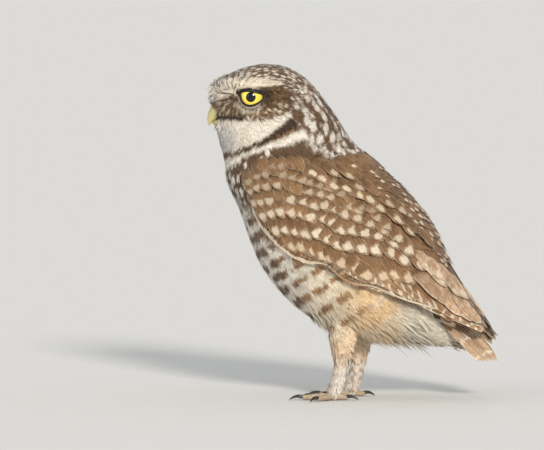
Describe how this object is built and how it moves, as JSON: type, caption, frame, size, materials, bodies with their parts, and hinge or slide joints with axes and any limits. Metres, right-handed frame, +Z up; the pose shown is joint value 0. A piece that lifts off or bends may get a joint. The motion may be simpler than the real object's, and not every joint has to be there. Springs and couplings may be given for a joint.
{
  "type": "burrowing owl",
  "caption": "Life-size standing owl in profile with folded wings, short tail, hooked bill, round eyes and feathered legs on clawed toes.",
  "frame": {"origin": "centre of the bounding box footprint, on the floor", "axes": "+Z up, -X the way the owl faces, -Y its left side"},
  "size_m": [0.1874, 0.0994, 0.2111],
  "materials": {
    "head_feathers": "brown feathers streaked white, whitish brow and chin",
    "body_feathers": "cream feathers barred brown, spotted breast, buff flanks and legs",
    "wing_feathers": "brown feathers spotted and barred buff white",
    "tail_feathers": "tan feathers barred cream",
    "bill": "greenish horn, satin",
    "eye": "yellow iris, black pupil, wet gloss",
    "toe": "fine grey scales and bristles",
    "claw": "black horn"
  },
  "bodies": {
    "root": {"head": "head_feathers", "neck": "head_feathers", "torso": "body_feathers", "tail": "tail_feathers", "bill_upper": "bill", "bill_lower": "bill", "eye_left": "eye", "eye_right": "eye", "wing_left_coverts": "wing_feathers", "wing_left_flight": "wing_feathers", "wing_right_coverts": "wing_feathers", "wing_right_flight": "wing_feathers", "leg_left_thigh": "body_feathers", "leg_left_shank": "body_feathers", "toe_left_inner": "toe", "claw_left_inner": "claw", "toe_left_middle": "toe", "claw_left_middle": "claw", "toe_left_outer": "toe", "claw_left_outer": "claw", "toe_left_hind": "toe", "claw_left_hind": "claw", "leg_right_thigh": "body_feathers", "leg_right_shank": "body_feathers", "toe_right_inner": "toe", "claw_right_inner": "claw", "toe_right_middle": "toe", "claw_right_middle": "claw", "toe_right_outer": "toe", "claw_right_outer": "claw", "toe_right_hind": "toe", "claw_right_hind": "claw"}
  },
  "joints": []
}
